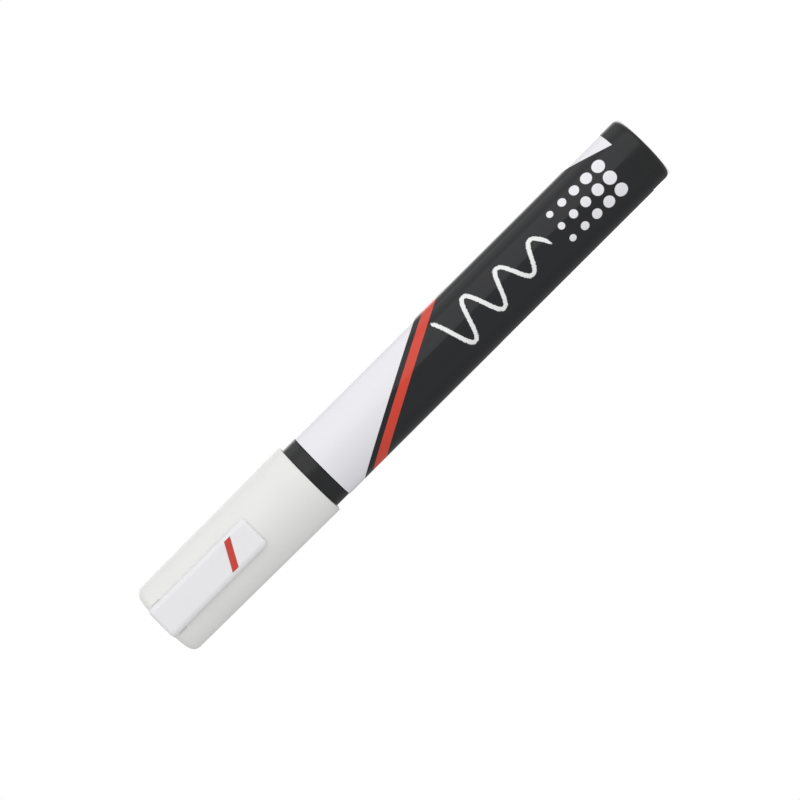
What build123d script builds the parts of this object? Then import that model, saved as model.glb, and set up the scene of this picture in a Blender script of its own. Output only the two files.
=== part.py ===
from build123d import *
import os
from math import cos, pi, radians, sin, sqrt, tan

# Liquid chalk marker, standing on its tail, in millimetres. +Z runs along the axis from the
# flat tail face (z = 0) to the closed end of the cap, and the pocket clip faces -Y.

# Outside lengths, tail to cap. The cap's length follows what it covers.
tail_length = 4.9
barrel_length = 89.0
collar_length = 3.65

# Room between pieces
overrun = 1.0  # how far a cut runs past the face that it opens
press_clearance = 0.02  # radial, where one piece is pressed into another
running_clearance = 0.08  # radial, round the nib and the snout

# Barrel and printed film
barrel_diameter = 16.0
barrel_wall = 1.4
film_thickness = 0.12
film_end_gap = 0.05

# Tail plug
tail_edge_radius = 1.2
tail_spigot_length = 8.0
tail_spigot_wall = 1.3
tail_floor = 1.8
tail_dish_flat = 2.0  # diameter of the flat that the ball rests on
tail_dish_slope = 15.0  # degrees

# Mixing ball
ball_diameter = 6.0
ball_rest_gap = 0.05

# Front section: spigot, collar and neck in one moulding
front_spigot_length = 8.0
front_lead = 0.5  # chamfer at both ends
collar_chamfer = 0.15
neck_step = 1.1  # collar radius to neck radius
neck_length = 9.0
bead_rise = 3.2  # collar to the middle of the snap bead
bead_width = 1.8
bead_crest = 0.6  # flat width at its top
snap_clearance = 0.05
chamber_share = 0.565  # valve chamber, of the barrel's radius
neck_bore_share = 0.5375  # bore for the nib holder, of the barrel's radius
web_thickness = 1.6
web_margin = 0.5  # web hole wider than the seat's hole, per side

# Nib holder: the tapered snout
holder_spigot_length = 5.0
holder_shoulder_length = 1.5
holder_cone_length = 4.5
snout_diameter = 8.0
snout_length = 8.5
snout_chamfer = 0.5
feed_groove_count = 4
feed_groove_width = 0.8
feed_groove_depth = 0.5

# Nib
nib_diameter = 4.0
nib_reach = 6.5  # stands out of the snout
nib_nose_length = 3.4
nib_rear_chamfer = 0.4
press_travel = 2.0
nib_web_gap = 1.8  # left between nib and web when the nib is pressed home

# Valve
seat_thickness = 1.6
flow_gap = 0.5  # radial, round the rod in the seat
rod_diameter = 3.0
head_thickness = 1.6
head_clearance = 0.6  # radial, in the cage
stub_length = 3.0
stub_clearance = 0.4  # radial, inside the spring
cage_sleeve_length = 8.1
cage_wall = 0.9
cage_flange_thickness = 1.5
cage_flange_gap = 0.4  # radial, to the barrel
basket_floor = 1.2
basket_floor_hole = 3.0
window_count = 4
window_width = 3.0
window_height = 2.4
window_margin = 0.4
spring_wire = 0.5
spring_wire_sides = 6
spring_inset = 0.15  # coil to the rim of the valve head
spring_turns = 5
spring_seat_gap = 0.05

# Cap, inner cap and clip
cap_overhang = 1.02  # cap mouth outside the collar, radial
cap_draft = 0.32  # radius lost outside, from mouth to closed end
cap_seat_width = 0.6  # cap mouth on the collar's face, radial
cap_edge_radius = 1.8
cap_mouth_chamfer = 0.25
crown_thickness = 1.6
inner_cap_wall = 1.1
inner_cap_setback = 1.5  # its mouth, above the holder's cone
tip_room = 5.2  # nib tip to the inner cap's ceiling
ceiling_thickness = 1.2
stem_length = 4.45  # ceiling to crown
inner_flange_thickness = 1.2
clip_width = 7.5
clip_length = 27.35
clip_thickness = 0.9  # on its middle line
clip_gap = 0.25  # clip to the cap's widest part
clip_side_radius = 1.2
clip_end_radius = 0.8
clip_root_height = 3.4
clip_root_wall = 0.5  # cap wall left behind the clip's seat
clip_root_radius = 0.6
lip_height = 0.2  # holding lip under the clip's tip
lip_width = 0.9
lip_ramp = 1.2
slit_width = 0.4
slit_depth = 0.45

# Levels along the axis
barrel_top = tail_length + barrel_length
collar_top = barrel_top + collar_length
neck_top = collar_top + neck_length
cone_bottom = neck_top + holder_shoulder_length
snout_bottom = cone_bottom + holder_cone_length
snout_top = snout_bottom + snout_length
nib_tip = snout_top + nib_reach
ceiling_level = nib_tip + tip_room
crown_underside = ceiling_level + ceiling_thickness + stem_length
cap_top = crown_underside + crown_thickness
cap_length = cap_top - collar_top
front_spigot_bottom = barrel_top - front_spigot_length
seat_bottom = front_spigot_bottom + cage_sleeve_length
web_bottom = seat_bottom + seat_thickness
web_top = web_bottom + web_thickness
nib_rear = web_top + nib_web_gap + press_travel
head_bottom = seat_bottom - head_thickness
flange_bottom = front_spigot_bottom - cage_flange_thickness
basket_floor_top = flange_bottom - window_height - 2 * window_margin
basket_bottom = basket_floor_top - basket_floor

# Radii
barrel_radius = barrel_diameter / 2
barrel_bore_radius = barrel_radius - barrel_wall
spigot_radius = barrel_bore_radius - press_clearance
chamber_radius = barrel_radius * chamber_share
neck_radius = barrel_radius - neck_step
neck_bore_radius = barrel_radius * neck_bore_share
holder_spigot_radius = neck_bore_radius - press_clearance
holder_shoulder_radius = neck_radius - front_lead
nib_radius = nib_diameter / 2
nib_bore_radius = nib_radius + running_clearance
snout_radius = snout_diameter / 2
seat_hole_radius = rod_diameter / 2 + flow_gap
web_hole_radius = seat_hole_radius + web_margin
cage_radius = chamber_radius - press_clearance
cage_bore_radius = cage_radius - cage_wall
cage_flange_radius = barrel_bore_radius - cage_flange_gap
head_radius = cage_bore_radius - head_clearance
coil_radius = head_radius - spring_inset - spring_wire / 2
stub_radius = coil_radius - spring_wire / 2 - stub_clearance
cap_mouth_outer = barrel_radius + cap_overhang
cap_end_outer = cap_mouth_outer - cap_draft
cap_bore = barrel_radius - cap_seat_width
inner_cap_bore = snout_radius + running_clearance
inner_cap_radius = inner_cap_bore + inner_cap_wall
clip_seat = cap_bore + clip_root_wall
clip_underside = cap_mouth_outer + clip_gap
clip_face = clip_underside + clip_thickness
clip_root_bottom = cap_top - clip_root_height
clip_tip = cap_top - clip_length


def biarc_middle(start, start_way, end, end_way):
    # The point and direction where two equal-handled arcs meet between two directed points.
    span = end - start
    ways = start_way + end_way
    square = 4 - ways.dot(ways)
    along = span.dot(ways)
    handle = (sqrt(along**2 + square * span.dot(span)) - along) / square
    first = start + start_way * handle
    last = end - end_way * handle
    return (first + last) * 0.5, (last - first).normalized()


# Ink tube
with BuildPart() as barrel:
    with BuildSketch(Plane.XY.offset(tail_length)):
        Circle(barrel_radius)
        Circle(barrel_bore_radius, mode=Mode.SUBTRACT)
    extrude(amount=barrel_length)

# Printed film, one thin sleeve round the whole barrel
with BuildPart() as label_film:
    film_inner = barrel_radius + press_clearance
    with BuildSketch(Plane.XY.offset(tail_length + film_end_gap)):
        Circle(film_inner + film_thickness)
        Circle(film_inner, mode=Mode.SUBTRACT)
    extrude(amount=barrel_length - 2 * film_end_gap)

# Tail plug: flat outside, a hollow spigot inside with a dished floor that brings the ball to the middle
tail_cavity_radius = spigot_radius - tail_spigot_wall
tail_spigot_top = tail_length + tail_spigot_length
dish_rise = (tail_cavity_radius - tail_dish_flat / 2) * tan(radians(tail_dish_slope))
with BuildPart() as tail_plug:
    with BuildSketch(Plane.XZ):
        with BuildLine():
            Polyline(
                (0, 0),
                (barrel_radius, 0),
                (barrel_radius, tail_length),
                (spigot_radius, tail_length),
                (spigot_radius, tail_spigot_top),
                (tail_cavity_radius, tail_spigot_top),
                (tail_cavity_radius, tail_floor + dish_rise),
                (tail_dish_flat / 2, tail_floor),
                (0, tail_floor),
                close=True,
            )
        make_face()
    revolve(axis=Axis.Z)
    fillet(tail_plug.edges().group_by(Axis.Z)[0], radius=tail_edge_radius)

# Mixing ball, lying on the dished floor
with BuildPart() as mixing_ball:
    with Locations((0, 0, tail_floor + ball_rest_gap + ball_diameter / 2)):
        Sphere(ball_diameter / 2)

# Front section: spigot in the barrel, visible collar, neck with the snap bead, web behind the valve seat
bead_middle = collar_top + bead_rise
bead_radius = cap_bore - snap_clearance
with BuildPart() as front_section:
    with BuildSketch(Plane.XZ):
        with BuildLine():
            Polyline(
                (bead_radius, bead_middle - bead_crest / 2),
                (neck_radius, bead_middle - bead_width / 2),
                (neck_radius, collar_top),
                (barrel_radius, collar_top),
                (barrel_radius, barrel_top),
                (spigot_radius, barrel_top),
                (spigot_radius, front_spigot_bottom + front_lead),
                (spigot_radius - front_lead, front_spigot_bottom),
                (chamber_radius, front_spigot_bottom),
                (chamber_radius, web_bottom),
                (web_hole_radius, web_bottom),
                (web_hole_radius, web_top),
                (neck_bore_radius, web_top),
                (neck_bore_radius, neck_top),
                (neck_radius - front_lead, neck_top),
                (neck_radius, neck_top - front_lead),
                (neck_radius, bead_middle + bead_width / 2),
                (bead_radius, bead_middle + bead_crest / 2),
                close=True,
            )
        make_face()
    revolve(axis=Axis.Z)
    collar_face = front_section.faces().filter_by(GeomType.CYLINDER).sort_by(SortBy.RADIUS)[-1]
    chamfer(collar_face.edges().filter_by(GeomType.CIRCLE), length=collar_chamfer)

# Nib holder: spigot in the neck, shoulder, cone and snout, with feed grooves along the nib's bore
holder_bottom = neck_top - holder_spigot_length
with BuildPart() as nib_holder:
    with BuildSketch(Plane.XZ):
        with BuildLine():
            Polyline(
                (nib_bore_radius, holder_bottom),
                (holder_spigot_radius, holder_bottom),
                (holder_spigot_radius, neck_top),
                (holder_shoulder_radius, neck_top),
                (holder_shoulder_radius, cone_bottom),
                (snout_radius, snout_bottom),
                (snout_radius, snout_top - snout_chamfer),
                (snout_radius - snout_chamfer, snout_top),
                (nib_bore_radius, snout_top),
                close=True,
            )
        make_face()
    revolve(axis=Axis.Z)
    with BuildSketch(Plane.XY.offset(holder_bottom - overrun)):
        with PolarLocations(nib_bore_radius, feed_groove_count):
            Rectangle(2 * feed_groove_depth, feed_groove_width)
    extrude(amount=snout_top - holder_bottom + 2 * overrun, mode=Mode.SUBTRACT)

# Nib: fibre rod with a bullet nose of two tangent arcs
nose_start = Vector(nib_radius, nib_tip - nib_nose_length)
nose_middle, nose_way = biarc_middle(nose_start, Vector(0, 1), Vector(0, nib_tip), Vector(-1, 0))
with BuildPart() as nib:
    with BuildSketch(Plane.XZ):
        with BuildLine():
            TangentArc(nose_start, nose_middle, tangent=(0, 1))
            TangentArc(nose_middle, (0, nib_tip), tangent=nose_way)
            Polyline(
                (0, nib_tip),
                (0, nib_rear),
                (nib_radius - nib_rear_chamfer, nib_rear),
                (nib_radius, nib_rear + nib_rear_chamfer),
                nose_start,
            )
        make_face()
    revolve(axis=Axis.Z)

# Valve seat: soft ring clamped between the web and the cage
with BuildPart() as valve_seat:
    with BuildSketch(Plane.XY.offset(seat_bottom)):
        Circle(cage_radius)
        Circle(seat_hole_radius, mode=Mode.SUBTRACT)
    extrude(amount=seat_thickness)

# Valve rod: spring stub, sealing head and the rod that the nib pushes
with BuildPart() as valve_rod:
    with BuildSketch(Plane.XZ):
        with BuildLine():
            Polyline(
                (0, head_bottom - stub_length),
                (stub_radius, head_bottom - stub_length),
                (stub_radius, head_bottom),
                (head_radius, head_bottom),
                (head_radius, seat_bottom),
                (rod_diameter / 2, seat_bottom),
                (rod_diameter / 2, nib_rear),
                (0, nib_rear),
                close=True,
            )
        make_face()
    revolve(axis=Axis.Z)

# Valve cage: sleeve in the front section, flange on its rear face, windowed basket behind
with BuildPart() as valve_cage:
    with BuildSketch(Plane.XZ):
        with BuildLine():
            Polyline(
                (cage_bore_radius, seat_bottom),
                (cage_bore_radius, basket_floor_top),
                (basket_floor_hole / 2, basket_floor_top),
                (basket_floor_hole / 2, basket_bottom),
                (cage_radius, basket_bottom),
                (cage_radius, flange_bottom),
                (cage_flange_radius, flange_bottom),
                (cage_flange_radius, front_spigot_bottom),
                (cage_radius, front_spigot_bottom),
                (cage_radius, seat_bottom),
                close=True,
            )
        make_face()
    revolve(axis=Axis.Z)
    with Locations((0, 0, (flange_bottom + basket_floor_top) / 2)):
        with PolarLocations(cage_radius, window_count):
            Box(4 * cage_wall, window_width, window_height, mode=Mode.SUBTRACT)

# Valve spring: one six-sided wire wound on biarcs of half a turn, from basket floor to valve head
coil_bottom = basket_floor_top + spring_seat_gap + spring_wire / 2
coil_top = head_bottom - spring_seat_gap - spring_wire / 2
spring_pitch = (coil_top - coil_bottom) / spring_turns
half_turns = round(2 * spring_turns)


def coil_point(turn):
    angle = 2 * pi * turn
    return Vector(coil_radius * cos(angle), coil_radius * sin(angle), coil_bottom + spring_pitch * turn)


def coil_way(turn):
    angle = 2 * pi * turn
    climb = spring_pitch / (2 * pi)
    return Vector(-coil_radius * sin(angle), coil_radius * cos(angle), climb).normalized()


with BuildPart() as valve_spring:
    with BuildLine() as coil:
        for half in range(half_turns):
            here, there = half / 2, (half + 1) / 2
            middle, way = biarc_middle(coil_point(here), coil_way(here), coil_point(there), coil_way(there))
            TangentArc(coil_point(here), middle, tangent=coil_way(here))
            TangentArc(middle, coil_point(there), tangent=way)
    with BuildSketch(Plane(origin=coil_point(0), z_dir=coil_way(0))):
        RegularPolygon(spring_wire / 2, spring_wire_sides)
    sweep(path=coil.wires()[0])

turn_steps = 24
coil_points = [coil_point(step / turn_steps) for step in range(round(turn_steps * spring_turns) + 1)]
coil_spans = [
    (coil_points[first] - coil_points[second]).length
    for first in range(len(coil_points))
    for second in range(first + turn_steps // 2, len(coil_points))
]
print(f"valve spring: least gap to itself {min(coil_spans) - spring_wire:.2f} mm")

# Outer cap: drafted outside, straight bore, rounded closed end, a flat seat for the clip between two slits
with BuildPart() as cap_shell:
    with BuildSketch(Plane.XZ):
        with BuildLine():
            Polyline(
                (0, collar_top),
                (cap_mouth_outer, collar_top),
                (cap_end_outer, cap_top),
                (0, cap_top),
                close=True,
            )
        make_face()
    revolve(axis=Axis.Z)
    fillet(cap_shell.edges().group_by(Axis.Z)[-1], radius=cap_edge_radius)
    chamfer(cap_shell.edges().group_by(Axis.Z)[0], length=cap_mouth_chamfer)
    # pad that carries the clip's root out to the full height of the crown
    with BuildSketch(Plane.XY.offset(clip_root_bottom)):
        with Locations((0, -clip_seat / 2)):
            Rectangle(clip_width, clip_seat)
    extrude(amount=clip_root_height)
    # notch for the root, and a slit on each side of it
    with BuildSketch(Plane.XY.offset(clip_root_bottom)):
        with Locations((0, -clip_seat - clip_face / 2)):
            Rectangle(clip_width + 2 * slit_width, clip_face)
        slit_middle = (clip_width + slit_width) / 2
        with Locations((slit_middle, slit_depth - clip_seat), (-slit_middle, slit_depth - clip_seat)):
            Rectangle(slit_width, clip_face, align=(Align.CENTER, Align.MAX))
    extrude(amount=clip_root_height + overrun, mode=Mode.SUBTRACT)
    with BuildSketch(Plane.XY.offset(crown_underside)):
        Circle(cap_bore)
    extrude(amount=collar_top - crown_underside - overrun, mode=Mode.SUBTRACT)

# Inner cap: sealing cup over the snout, hollow stem and flange against the crown
inner_cap_mouth = snout_bottom + inner_cap_setback
inner_flange_bottom = crown_underside - inner_flange_thickness
inner_flange_radius = cap_bore - press_clearance
with BuildPart() as inner_cap:
    with BuildSketch(Plane.XZ):
        with BuildLine():
            Polyline(
                (inner_cap_bore, inner_cap_mouth),
                (inner_cap_radius, inner_cap_mouth),
                (inner_cap_radius, inner_flange_bottom),
                (inner_flange_radius, inner_flange_bottom),
                (inner_flange_radius, crown_underside),
                (inner_cap_bore, crown_underside),
                (inner_cap_bore, ceiling_level + ceiling_thickness),
                (0, ceiling_level + ceiling_thickness),
                (0, ceiling_level),
                (inner_cap_bore, ceiling_level),
                close=True,
            )
        make_face()
    revolve(axis=Axis.Z)

# Pocket clip: flat outside and hollow underneath, with a root block on the crown's seat
lip_radius = clip_underside - lip_height
lip_top = clip_tip + lip_width
with BuildPart() as pocket_clip:
    with BuildSketch(Plane.XY.offset(clip_tip)):
        with Locations((0, -clip_seat)):
            Rectangle(clip_width, clip_face - clip_seat, align=(Align.CENTER, Align.MAX))
    extrude(amount=clip_length)
    # hollow that follows the cap, from the lip under the tip to a rounded corner at the root
    with BuildSketch(Plane.XZ):
        with BuildLine():
            Polyline(
                (clip_underside - clip_root_radius, clip_root_bottom),
                (0, clip_root_bottom),
                (0, clip_tip - overrun),
                (lip_radius, clip_tip - overrun),
                (lip_radius, lip_top),
                (clip_underside, lip_top + lip_ramp),
                (clip_underside, clip_root_bottom - clip_root_radius),
            )
            TangentArc(
                (clip_underside, clip_root_bottom - clip_root_radius),
                (clip_underside - clip_root_radius, clip_root_bottom),
                tangent=(0, 1),
            )
        make_face()
    revolve(axis=Axis.Z, mode=Mode.SUBTRACT)
    # long edges first, then the rims of tip and root in one run each
    outer_face = pocket_clip.faces().sort_by(Axis.Y)[0]
    fillet(outer_face.edges().filter_by(Axis.Z), radius=clip_side_radius)
    outer_face = pocket_clip.faces().sort_by(Axis.Y)[0]
    fillet(outer_face.edges().filter_by(Axis.X), radius=clip_end_radius)

pieces = {
    "tail_plug": tail_plug,
    "barrel": barrel,
    "label_film": label_film,
    "mixing_ball": mixing_ball,
    "front_section": front_section,
    "valve_cage": valve_cage,
    "valve_spring": valve_spring,
    "valve_seat": valve_seat,
    "valve_rod": valve_rod,
    "nib_holder": nib_holder,
    "nib": nib,
    "inner_cap": inner_cap,
    "cap_shell": cap_shell,
    "pocket_clip": pocket_clip,
}
os.makedirs("parts", exist_ok=True)
for name, piece in pieces.items():
    piece.part.label = name
    export_step(piece.part, f"parts/{name}.step")
print(f"overall length {cap_top:.2f} mm, cap {cap_length:.2f} mm")
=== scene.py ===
import math

import bmesh
import bpy
from mathutils import Matrix, Vector


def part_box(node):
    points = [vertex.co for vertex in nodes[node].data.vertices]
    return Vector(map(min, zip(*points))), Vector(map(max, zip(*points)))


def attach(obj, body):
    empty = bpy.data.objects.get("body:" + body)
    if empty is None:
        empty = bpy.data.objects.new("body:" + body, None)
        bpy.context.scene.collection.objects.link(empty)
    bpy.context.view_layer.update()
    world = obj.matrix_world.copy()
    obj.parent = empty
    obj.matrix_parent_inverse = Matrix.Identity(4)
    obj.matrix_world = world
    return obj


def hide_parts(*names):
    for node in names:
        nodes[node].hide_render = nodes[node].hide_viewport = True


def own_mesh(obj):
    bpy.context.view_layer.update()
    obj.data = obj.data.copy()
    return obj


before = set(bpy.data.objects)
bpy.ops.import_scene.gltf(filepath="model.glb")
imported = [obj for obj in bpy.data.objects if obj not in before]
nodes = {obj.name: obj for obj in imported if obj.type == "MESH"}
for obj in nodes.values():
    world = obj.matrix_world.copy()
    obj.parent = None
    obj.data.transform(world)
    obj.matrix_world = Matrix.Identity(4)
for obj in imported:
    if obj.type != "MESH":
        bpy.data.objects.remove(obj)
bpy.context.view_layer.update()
mm = 0.001  # one millimetre in the frame's metres
noiseLow, noiseHigh = 0.3, 0.7  # most of a noise pattern lies between these
print("frame loaded:", len(nodes), "nodes")


def linearColour(hexCode):  # sRGB hex to the linear colour that shaders take
    shares = [int(hexCode[at:at + 2], 16) / 255 for at in (1, 3, 5)]
    return [s / 12.92 if s <= 0.04045 else ((s + 0.055) / 1.055) ** 2.4 for s in shares] + [1.0]


def addNode(tree, kind, inputs=None, **settings):
    node = tree.nodes.new(kind)
    for name, value in settings.items():
        setattr(node, name, value)
    for socket, value in (inputs or {}).items():
        if isinstance(value, bpy.types.NodeSocket):
            tree.links.new(value, node.inputs[socket])
        else:
            node.inputs[socket].default_value = value
    return next(output for output in node.outputs if output.enabled)


def newMaterial(name, sockets):
    material = bpy.data.materials.new(name)
    material.use_nodes = True
    tree = material.node_tree
    surface = tree.nodes["Principled BSDF"]
    for socket, value in sockets.items():
        surface.inputs[socket].default_value = value
    place = tree.nodes.new("ShaderNodeTexCoord").outputs["Object"]
    spot = addNode(tree, "ShaderNodeVectorMath", {0: place, "Scale": 1 / mm}, operation="SCALE")  # in mm
    return material, tree, surface, spot


def feed(tree, node, sources):
    for socket, source in sources.items():
        tree.links.new(source, node.inputs[socket])


def dress(material, *names):
    for name in names:
        nodes[name].material_slots[0].material = material


# Moulded plastic: faint flow patches in the colour, and the fine grain that a spark-eroded mould leaves.
# The real grain is about 0.05 mm, too fine to show, so it is drawn coarser. Sizes in millimetres.
def mouldedPlastic(name, look):
    sockets = {"IOR": look["index"]}
    if "glow" in look:  # pale plastics let light in a little way
        sockets["Subsurface Weight"] = look["glow"]
        sockets["Subsurface Radius"] = look["glowReach"]
        sockets["Subsurface Scale"] = look["glowDepth"] * mm
    material, tree, surface, spot = newMaterial(name, sockets)
    flow = addNode(tree, "ShaderNodeTexNoise", {
        "Vector": spot, "Scale": 1 / look["flowSize"], "Detail": 2.0})
    grain = addNode(tree, "ShaderNodeTexNoise", {
        "Vector": spot, "Scale": 1 / look["grainSize"], "Detail": 3.0})
    colour = addNode(tree, "ShaderNodeMix", {  # 6 and 7 are its two colours
        "Factor": flow, 6: linearColour(look["shade"]), 7: linearColour(look["tint"])}, data_type="RGBA")
    gloss = addNode(tree, "ShaderNodeMapRange", {
        "Value": grain, "From Min": noiseLow, "From Max": noiseHigh,
        "To Min": look["roughness"] - look["roughSpread"],
        "To Max": look["roughness"] + look["roughSpread"]})
    relief = addNode(tree, "ShaderNodeBump", {
        "Strength": look["relief"], "Distance": look["grainDepth"] * mm, "Height": grain})
    feed(tree, surface, {"Base Color": colour, "Roughness": gloss, "Normal": relief})
    return material, tree, surface, spot, colour


# White polypropylene of the cap and the clip: a satin white, softened by light that goes in at the edges
capLook = dict(tint="#EBEBEA", shade="#E6E6E4", flowSize=9.0,
               grainSize=0.3, grainDepth=0.012, relief=0.5,
               index=1.49, roughness=0.42, roughSpread=0.06,
               glow=0.1, glowReach=(1.0, 0.98, 0.94), glowDepth=0.4)
dress(mouldedPlastic("whitePolypropylene", capLook)[0], "cap_shell")

# The clip is the cap's white made a little lighter and cooler, painted light for the brighter look of its
# face; one red slanted band is printed across its outer face
clipLook = dict(capLook, tint="#EDEDEF", shade="#E9E9EB",
                ink="#C8392B", bandFromTip=6.85, bandWidth=1.7, bandSlant=0.55,
                inkEdge=0.06, faceDepth=0.05)
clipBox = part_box("pocket_clip")
bandMiddle = clipBox[0].z / mm + clipLook["bandFromTip"]
outerFace = clipBox[0].y / mm + clipLook["faceDepth"]
clipPlastic, tree, surface, spot, colour = mouldedPlastic("whitePolypropylenePrinted", clipLook)
axes = addNode(tree, "ShaderNodeSeparateXYZ", {"Vector": spot}).node.outputs
drift = addNode(tree, "ShaderNodeMath", {
    0: axes["X"], 1: clipLook["bandSlant"], 2: axes["Z"]}, operation="MULTIPLY_ADD")
away = addNode(tree, "ShaderNodeMath", {0: drift, 1: bandMiddle}, operation="SUBTRACT")
away = addNode(tree, "ShaderNodeMath", {0: away}, operation="ABSOLUTE")
band = addNode(tree, "ShaderNodeMapRange", {
    "Value": away, "From Min": clipLook["bandWidth"] / 2 + clipLook["inkEdge"],
    "From Max": clipLook["bandWidth"] / 2 - clipLook["inkEdge"]}, interpolation_type="SMOOTHSTEP")
onFace = addNode(tree, "ShaderNodeMath", {0: axes["Y"], 1: outerFace}, operation="LESS_THAN")
band = addNode(tree, "ShaderNodeMath", {0: band, 1: onFace}, operation="MULTIPLY")
colour = addNode(tree, "ShaderNodeMix", {
    "Factor": band, 6: colour, 7: linearColour(clipLook["ink"])}, data_type="RGBA")
feed(tree, surface, {"Base Color": colour})
dress(clipPlastic, "pocket_clip")

# Black polypropylene: polished mould, so glossy with a faint waviness
blackLook = dict(tint="#191A1C", shade="#141517", flowSize=6.0,
                 grainSize=0.5, grainDepth=0.006, relief=0.35,
                 index=1.4, roughness=0.24, roughSpread=0.04)
dress(mouldedPlastic("blackPolypropylene", blackLook)[0], "tail_plug", "front_section", "barrel")

# Natural polypropylene of the inner cap and the nib holder: milky and dull
milkyLook = dict(tint="#E9EAE6", shade="#DDDFDA", flowSize=4.0,
                 grainSize=0.25, grainDepth=0.015, relief=0.5,
                 index=1.49, roughness=0.5, roughSpread=0.06,
                 glow=0.3, glowReach=(1.0, 1.0, 0.95), glowDepth=1.2)
dress(mouldedPlastic("naturalPolypropylene", milkyLook)[0], "inner_cap", "nib_holder")

# Acetal valve parts: denser and whiter, with a waxy gloss
acetalLook = dict(tint="#F0EFEA", shade="#E8E6DF", flowSize=3.0,
                  grainSize=0.2, grainDepth=0.008, relief=0.4,
                  index=1.48, roughness=0.34, roughSpread=0.05)
dress(mouldedPlastic("acetal", acetalLook)[0], "valve_rod", "valve_cage")

# Nitrile rubber seat: matt black with a bloom of grey
rubberLook = dict(tint="#2E2E30", shade="#1C1C1D", flowSize=0.9,
                  grainSize=0.15, grainDepth=0.02, relief=0.6,
                  index=1.52, roughness=0.78, roughSpread=0.08)
dress(mouldedPlastic("nitrileRubber", rubberLook)[0], "valve_seat")
print("plastics dressed")

# Printed polypropylene film: glossy white, with a black field between two slanted edges, a red line along
# the front edge, a chalky wave stroke and a block of white dots near the tail. Sizes in millimetres, heights
# from the film's lower end.
filmLook = dict(white="#E9E8ED", black="#17181B", red="#D2402E", chalk="#ECEDEC", inkEdge=0.06,
                frontEdge=69.05, frontSlant=1.9, tailEdge=-13.55, tailSlant=3.0,
                lineGap=2.4, lineWidth=4.0,
                waveFrom=23.55, waveTo=52.05, waveLength=9.0, waveReachFrom=2.4, waveReachTo=4.8,
                strokeWidth=0.95, chalkGrain=0.3, ragShare=0.6, solidShare=0.7, goneShare=0.86,
                dotRings=5, dotColumns=3, dotFrom=3.45, dotPitch=3.5, dotRadius=1.45, dotStep=0.17,
                index=1.4, roughness=0.14, roughSpread=0.03, rippleSize=7.0, rippleDepth=0.01, relief=0.5)
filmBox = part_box("label_film")
filmRadius = (filmBox[1].x - filmBox[0].x) / 2 / mm
film, tree, surface, spot = newMaterial("printedPolypropyleneFilm", {"IOR": filmLook["index"]})
axes = addNode(tree, "ShaderNodeSeparateXYZ", {"Vector": spot}).node.outputs
height = addNode(tree, "ShaderNodeMath", {0: axes["Z"], 1: filmBox[0].z / mm}, operation="SUBTRACT")
facing = addNode(tree, "ShaderNodeMath", {0: axes["Y"], 1: -1.0}, operation="MULTIPLY")
# angle about the axis, 0 on the clip's side, and the way round the film that it gives
turn = addNode(tree, "ShaderNodeMath", {0: axes["X"], 1: facing}, operation="ARCTAN2")
around = addNode(tree, "ShaderNodeMath", {0: turn, 1: filmRadius}, operation="MULTIPLY")

# black field: how far a spot lies inside the front edge, and inside the tail edge
climb = addNode(tree, "ShaderNodeMath", {
    0: axes["X"], 1: filmLook["frontSlant"], 2: height}, operation="MULTIPLY_ADD")
inside = addNode(tree, "ShaderNodeMath", {0: filmLook["frontEdge"], 1: climb}, operation="SUBTRACT")
fall = addNode(tree, "ShaderNodeMath", {
    0: axes["X"], 1: -filmLook["tailSlant"], 2: height}, operation="MULTIPLY_ADD")
ahead = addNode(tree, "ShaderNodeMath", {0: fall, 1: filmLook["tailEdge"]}, operation="SUBTRACT")
within = addNode(tree, "ShaderNodeMath", {0: inside, 1: ahead}, operation="MINIMUM")
field = addNode(tree, "ShaderNodeMapRange", {
    "Value": within, "From Min": -filmLook["inkEdge"], "From Max": filmLook["inkEdge"]},
    interpolation_type="SMOOTHSTEP")

# red line, a fixed way inside the front edge
lineMiddle = filmLook["lineGap"] + filmLook["lineWidth"] / 2
away = addNode(tree, "ShaderNodeMath", {0: inside, 1: lineMiddle}, operation="SUBTRACT")
away = addNode(tree, "ShaderNodeMath", {0: away}, operation="ABSOLUTE")
line = addNode(tree, "ShaderNodeMapRange", {
    "Value": away, "From Min": filmLook["lineWidth"] / 2 + filmLook["inkEdge"],
    "From Max": filmLook["lineWidth"] / 2 - filmLook["inkEdge"]}, interpolation_type="SMOOTHSTEP")

# wave stroke along the barrel: distance to a sine line, kept even by its slope, with round ends
radiansPerMm = 2 * math.pi / filmLook["waveLength"]
phase = addNode(tree, "ShaderNodeMath", {0: height, 1: filmLook["waveFrom"]}, operation="SUBTRACT")
phase = addNode(tree, "ShaderNodeMath", {0: phase, 1: radiansPerMm}, operation="MULTIPLY")
swing = addNode(tree, "ShaderNodeMath", {0: phase}, operation="SINE")
waveReach = addNode(tree, "ShaderNodeMapRange", {
    "Value": height, "From Min": filmLook["waveFrom"], "From Max": filmLook["waveTo"],
    "To Min": filmLook["waveReachFrom"], "To Max": filmLook["waveReachTo"]})
wave = addNode(tree, "ShaderNodeMath", {0: swing, 1: waveReach}, operation="MULTIPLY")
offWave = addNode(tree, "ShaderNodeMath", {0: around, 1: wave}, operation="SUBTRACT")
slope = addNode(tree, "ShaderNodeMath", {0: phase}, operation="COSINE")
slope = addNode(tree, "ShaderNodeMath", {0: slope, 1: radiansPerMm}, operation="MULTIPLY")
slope = addNode(tree, "ShaderNodeMath", {0: slope, 1: waveReach}, operation="MULTIPLY")
steep = addNode(tree, "ShaderNodeMath", {0: slope, 1: slope, 2: 1.0}, operation="MULTIPLY_ADD")
steep = addNode(tree, "ShaderNodeMath", {0: steep}, operation="SQRT")
across = addNode(tree, "ShaderNodeMath", {0: offWave, 1: steep}, operation="DIVIDE")
low = addNode(tree, "ShaderNodeMath", {0: filmLook["waveFrom"], 1: height}, operation="SUBTRACT")
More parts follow.
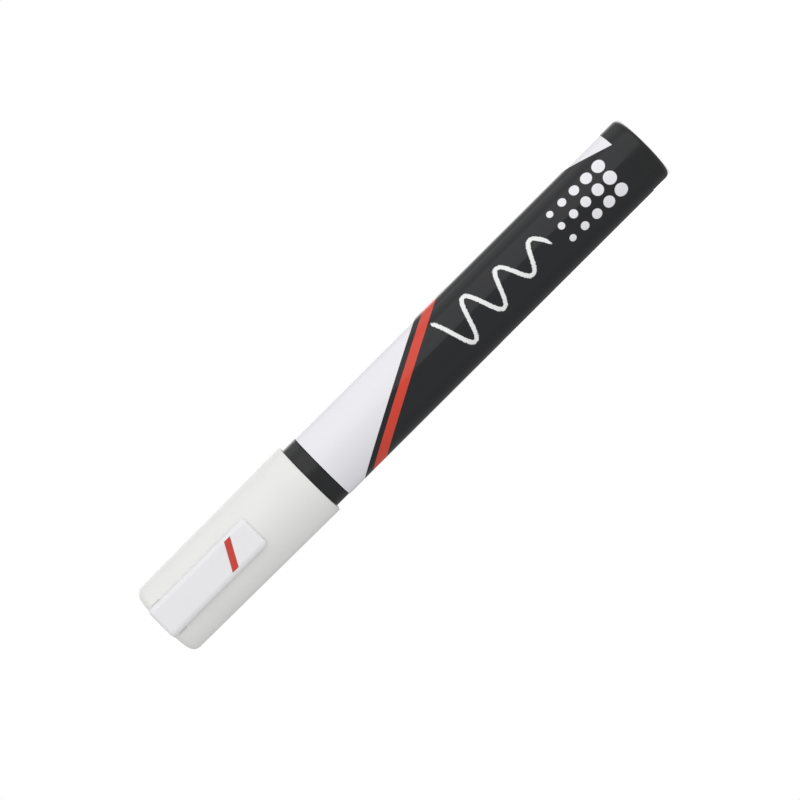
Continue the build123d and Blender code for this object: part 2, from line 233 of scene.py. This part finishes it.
high = addNode(tree, "ShaderNodeMath", {0: height, 1: filmLook["waveTo"]}, operation="SUBTRACT")
beyond = addNode(tree, "ShaderNodeMath", {0: low, 1: high}, operation="MAXIMUM")
beyond = addNode(tree, "ShaderNodeMath", {0: beyond, 1: 0.0}, operation="MAXIMUM")
ends = addNode(tree, "ShaderNodeCombineXYZ", {"X": across, "Y": beyond})
away = addNode(tree, "ShaderNodeVectorMath", {0: ends}, operation="LENGTH")
# chalk dust: the stroke breaks up towards its edges, and lets a few specks of black through
dust = addNode(tree, "ShaderNodeTexNoise", {
    "Vector": spot, "Scale": 1 / filmLook["chalkGrain"], "Detail": 4.0})
ragged = addNode(tree, "ShaderNodeMath", {
    0: dust, 1: filmLook["strokeWidth"] * filmLook["ragShare"], 2: away}, operation="MULTIPLY_ADD")
stroke = addNode(tree, "ShaderNodeMapRange", {
    "Value": ragged, "From Min": filmLook["strokeWidth"] * filmLook["goneShare"],
    "From Max": filmLook["strokeWidth"] * filmLook["solidShare"]}, interpolation_type="SMOOTHSTEP")

# white dots near the tail: rings of a few dots, each ring smaller than the one behind it
along = addNode(tree, "ShaderNodeMath", {0: height, 1: filmLook["dotFrom"]}, operation="SUBTRACT")
ring = addNode(tree, "ShaderNodeMath", {0: along, 1: filmLook["dotPitch"]}, operation="DIVIDE")
ring = addNode(tree, "ShaderNodeMath", {0: ring}, operation="FLOOR")
ring = addNode(tree, "ShaderNodeClamp", {"Value": ring, "Min": 0.0, "Max": filmLook["dotRings"] - 1})
column = addNode(tree, "ShaderNodeMath", {0: around, 1: filmLook["dotPitch"]}, operation="DIVIDE")
column = addNode(tree, "ShaderNodeMath", {0: column}, operation="ROUND")
lastColumn = (filmLook["dotColumns"] - 1) / 2
column = addNode(tree, "ShaderNodeClamp", {"Value": column, "Min": -lastColumn, "Max": lastColumn})
ringMiddle = addNode(tree, "ShaderNodeMath", {0: ring, 1: 0.5}, operation="ADD")
dotPlace = addNode(tree, "ShaderNodeCombineXYZ", {"X": column, "Y": ringMiddle})
dotPlace = addNode(tree, "ShaderNodeVectorMath", {
    0: dotPlace, "Scale": filmLook["dotPitch"]}, operation="SCALE")
here = addNode(tree, "ShaderNodeCombineXYZ", {"X": around, "Y": along})
away = addNode(tree, "ShaderNodeVectorMath", {0: here, 1: dotPlace}, operation="DISTANCE")
radius = addNode(tree, "ShaderNodeMath", {
    0: ring, 1: -filmLook["dotStep"], 2: filmLook["dotRadius"]}, operation="MULTIPLY_ADD")
away = addNode(tree, "ShaderNodeMath", {0: away, 1: radius}, operation="SUBTRACT")
dots = addNode(tree, "ShaderNodeMapRange", {
    "Value": away, "From Min": filmLook["inkEdge"], "From Max": -filmLook["inkEdge"]},
    interpolation_type="SMOOTHSTEP")

# inks, one over the other, on a film that ripples a little where it is drawn tight
colour = linearColour(filmLook["white"])
for ink, cover in (("black", field), ("red", line), ("chalk", stroke), ("white", dots)):
    colour = addNode(tree, "ShaderNodeMix", {
        "Factor": cover, 6: colour, 7: linearColour(filmLook[ink])}, data_type="RGBA")
gloss = addNode(tree, "ShaderNodeMapRange", {
    "Value": dust, "From Min": noiseLow, "From Max": noiseHigh,
    "To Min": filmLook["roughness"] - filmLook["roughSpread"],
    "To Max": filmLook["roughness"] + filmLook["roughSpread"]})
ripple = addNode(tree, "ShaderNodeTexNoise", {
    "Vector": spot, "Scale": 1 / filmLook["rippleSize"], "Detail": 1.0})
relief = addNode(tree, "ShaderNodeBump", {
    "Strength": filmLook["relief"], "Distance": filmLook["rippleDepth"] * mm, "Height": ripple})
feed(tree, surface, {"Base Color": colour, "Roughness": gloss, "Normal": relief})
dress(film, "label_film")
print("film printed")

# Bonded polyester fibre of the nib: pale, dull, streaked along its length.
# The fibres are about 0.02 mm, drawn six times as wide so that they show.
nibLook = dict(tint="#F4F3EF", shade="#D9D7CF", fibreWidth=0.12, fibreLength=2.5, fibreDepth=0.03,
               relief=0.8, index=1.5, roughness=0.9, sheen=0.15)
fibre, tree, surface, spot = newMaterial("bondedFibre", {
    "IOR": nibLook["index"], "Roughness": nibLook["roughness"], "Sheen Weight": nibLook["sheen"]})
strands = addNode(tree, "ShaderNodeMapping", {"Vector": spot, "Scale": (
    1 / nibLook["fibreWidth"], 1 / nibLook["fibreWidth"], 1 / nibLook["fibreLength"])})
streak = addNode(tree, "ShaderNodeTexNoise", {"Vector": strands, "Scale": 1.0, "Detail": 3.0})
colour = addNode(tree, "ShaderNodeMix", {
    "Factor": streak, 6: linearColour(nibLook["shade"]), 7: linearColour(nibLook["tint"])},
    data_type="RGBA")
relief = addNode(tree, "ShaderNodeBump", {
    "Strength": nibLook["relief"], "Distance": nibLook["fibreDepth"] * mm, "Height": streak})
feed(tree, surface, {"Base Color": colour, "Normal": relief})
dress(fibre, "nib")


# Steel: drawn wire for the spring, a ground ball for mixing; both show fine scuffs in the reflection
def steel(name, look):
    material, tree, surface, spot = newMaterial(name, {"Metallic": 1.0})
    scuff = addNode(tree, "ShaderNodeTexNoise", {
        "Vector": spot, "Scale": 1 / look["scuffSize"], "Detail": 4.0})
    colour = addNode(tree, "ShaderNodeMix", {
        "Factor": scuff, 6: linearColour(look["shade"]), 7: linearColour(look["tint"])}, data_type="RGBA")
    gloss = addNode(tree, "ShaderNodeMapRange", {
        "Value": scuff, "From Min": noiseLow, "From Max": noiseHigh,
        "To Min": look["smooth"], "To Max": look["rough"]})
    feed(tree, surface, {"Base Color": colour, "Roughness": gloss})
    return material


ballLook = dict(tint="#C9CACC", shade="#B4B5B8", scuffSize=0.6, smooth=0.1, rough=0.22)
dress(steel("groundSteel", ballLook), "mixing_ball")

# Valve spring: round drawn wire. The real spring shortens when the nib is pressed; this one is built at one
# length
springLook = dict(tint="#BDBEC0", shade="#9FA0A3", scuffSize=0.12, smooth=0.22, rough=0.36,
                  wire=0.5, weld=0.001, turns=5, stepsPerTurn=40, wireSides=12)
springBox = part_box("valve_spring")
wireRadius = springLook["wire"] / 2 * mm
coilRadius = springBox[1].x - wireRadius
climbHeight = springBox[1].z - springBox[0].z - 2 * wireRadius
spinSteps = springLook["turns"] * springLook["stepsPerTurn"]
shape = bmesh.new()
bmesh.ops.create_circle(shape, segments=springLook["wireSides"], radius=wireRadius)
bmesh.ops.rotate(shape, verts=shape.verts, matrix=Matrix.Rotation(math.pi / 2, 3, "X"))
bmesh.ops.translate(shape, verts=shape.verts, vec=(coilRadius, 0, springBox[0].z + wireRadius))
bmesh.ops.spin(shape, geom=shape.edges[:], cent=(0, 0, 0), axis=(0, 0, 1),
               angle=2 * math.pi * springLook["turns"], dvec=(0, 0, climbHeight / spinSteps),
               steps=spinSteps, use_merge=False)
bmesh.ops.remove_doubles(shape, verts=shape.verts, dist=springLook["weld"] * mm)
bmesh.ops.holes_fill(shape, edges=[edge for edge in shape.edges if edge.is_boundary])
bmesh.ops.recalc_face_normals(shape, faces=shape.faces)
for face in shape.faces:
    face.smooth = len(face.verts) == 4  # all but the two cut ends
mesh = bpy.data.meshes.new("valveSpringWire")
shape.to_mesh(mesh)
shape.free()
mesh.materials.append(steel("springSteel", springLook))
springWire = bpy.data.objects.new("valveSpringWire", mesh)
bpy.context.scene.collection.objects.link(springWire)
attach(springWire, "barrel_unit")
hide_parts("valve_spring")
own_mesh(springWire)
print("nib, ball and spring dressed")

# Studio, in metres: a white light tent, two panels on the +X side, one behind the marker and a weak fill
# behind the camera. The key panel's edge stands beside the camera, and draws the sharp line down the black
# barrel. In reflections the tent is dimmer behind the marker, as a grey card makes it, so the black rims
# stay dark.
studio = dict(tentLight=0.715, rearLight=0.25, rearWay=(-0.35, 0.94, 0.0), backdrop=1.0,
              floorSize=3.0, floorGlow=0.6, floorColour="#F2F2F2", clipTurn=1.4)
panels = dict(
    key=dict(watts=1.5, near=(0.115, -0.65), far=(0.564, -0.174), height=0.95, middleZ=-0.225),
    side=dict(watts=0.145, near=(0.564, -0.174), far=(0.6, 0.3), height=0.28, middleZ=0.07),
    back=dict(watts=1.1, near=(0.36, 0.52), far=(0.056, 0.638), height=0.95, middleZ=0.07),
    fill=dict(watts=0.25, near=(-0.3, -0.75), far=(0.2, -0.75), height=0.5, middleZ=0.07))
white = (1, 1, 1, 1)
scene = bpy.context.scene
scene.view_settings.view_transform = "Standard"
world = bpy.data.worlds.new("lightTent")
world.use_nodes = True
scene.world = world
tree = world.node_tree
rays = addNode(tree, "ShaderNodeLightPath").node.outputs
way = tree.nodes.new("ShaderNodeTexCoord").outputs["Generated"]
rearShare = addNode(tree, "ShaderNodeVectorMath", {0: way, 1: studio["rearWay"]}, operation="DOT_PRODUCT")
dimming = addNode(tree, "ShaderNodeMapRange", {
    "Value": rearShare, "To Max": studio["tentLight"] - studio["rearLight"]})
dimming = addNode(tree, "ShaderNodeMath", {0: dimming, 1: rays["Is Glossy Ray"]}, operation="MULTIPLY")
tentLight = addNode(tree, "ShaderNodeMath", {0: studio["tentLight"], 1: dimming}, operation="SUBTRACT")
tent = addNode(tree, "ShaderNodeBackground", {"Color": white, "Strength": tentLight})
backdrop = addNode(tree, "ShaderNodeBackground", {"Color": white, "Strength": studio["backdrop"]})
sky = addNode(tree, "ShaderNodeMixShader", {0: rays["Is Camera Ray"], 1: tent, 2: backdrop})
feed(tree, tree.nodes["World Output"], {"Surface": sky})

# pale paper floor that glows a little, so that it shows no edge
shape = bmesh.new()
bmesh.ops.create_grid(shape, x_segments=2, y_segments=2, size=studio["floorSize"] / 2)
mesh = bpy.data.meshes.new("studioFloor")
shape.to_mesh(mesh)
shape.free()
paper = bpy.data.materials.new("whitePaper")
paper.use_nodes = True
paperInputs = paper.node_tree.nodes["Principled BSDF"].inputs
paperInputs["Base Color"].default_value = linearColour(studio["floorColour"])
paperInputs["Roughness"].default_value = 1.0
paperInputs["Emission Color"].default_value = white
paperInputs["Emission Strength"].default_value = studio["floorGlow"]
mesh.materials.append(paper)
floor = bpy.data.objects.new("studioFloor", mesh)
scene.collection.objects.link(floor)
floor.visible_glossy = False  # the black barrel mirrors the panels, and no floor
floor.visible_diffuse = False
floor.visible_shadow = False

# panels and camera are turned together about the marker, so that the clip faces a little past the camera
studioTurn = Matrix.Rotation(math.radians(-studio["clipTurn"]), 4, "Z")
for name, panel in panels.items():
    near, far = Vector(panel["near"]), Vector(panel["far"])
    lightData = bpy.data.lights.new(name + "Panel", "AREA")
    lightData.shape = "RECTANGLE"
    lightData.size, lightData.size_y = (far - near).length, panel["height"]
    lightData.energy = panel["watts"]
    light = bpy.data.objects.new(name + "Panel", lightData)
    middle = (near + far) / 2
    alongPanel = (far - near).normalized().to_3d()
    outOfPanel = alongPanel.cross(Vector((0, 0, 1)))  # an area light shines along its own -Z
    panelTurn = Matrix((alongPanel, Vector((0, 0, 1)), outOfPanel)).transposed().to_4x4()
    light.matrix_world = studioTurn @ Matrix.Translation((middle.x, middle.y, panel["middleZ"])) @ panelTurn
    light.visible_camera = False
    light.visible_glossy = name != "fill"  # the fill only softens, and the black barrel doesn't mirror it
    scene.collection.objects.link(light)

# Camera on the clip's side, level with the marker's middle, rolled so that the tail is at the upper right
shot = dict(distance=0.7, aim=(-0.00172, 0.0, 0.0728), frameWidth=0.1659, axisTilt=44.9)
cameraData = bpy.data.cameras.new("photoCamera")
cameraData.sensor_width = 36
cameraData.lens = cameraData.sensor_width * shot["distance"] / shot["frameWidth"]
camera = bpy.data.objects.new("photoCamera", cameraData)
tilt = math.radians(shot["axisTilt"])
rightWay = Vector((-math.sin(tilt), 0, -math.cos(tilt)))
upWay = Vector((math.cos(tilt), 0, -math.sin(tilt)))
backWay = Vector((0, -1, 0))
cameraTurn = Matrix((rightWay, upWay, backWay)).transposed().to_4x4()
cameraPlace = Vector(shot["aim"]) + backWay * shot["distance"]
camera.matrix_world = studioTurn @ Matrix.Translation(cameraPlace) @ cameraTurn
scene.collection.objects.link(camera)
scene.camera = camera
print("studio and camera set")
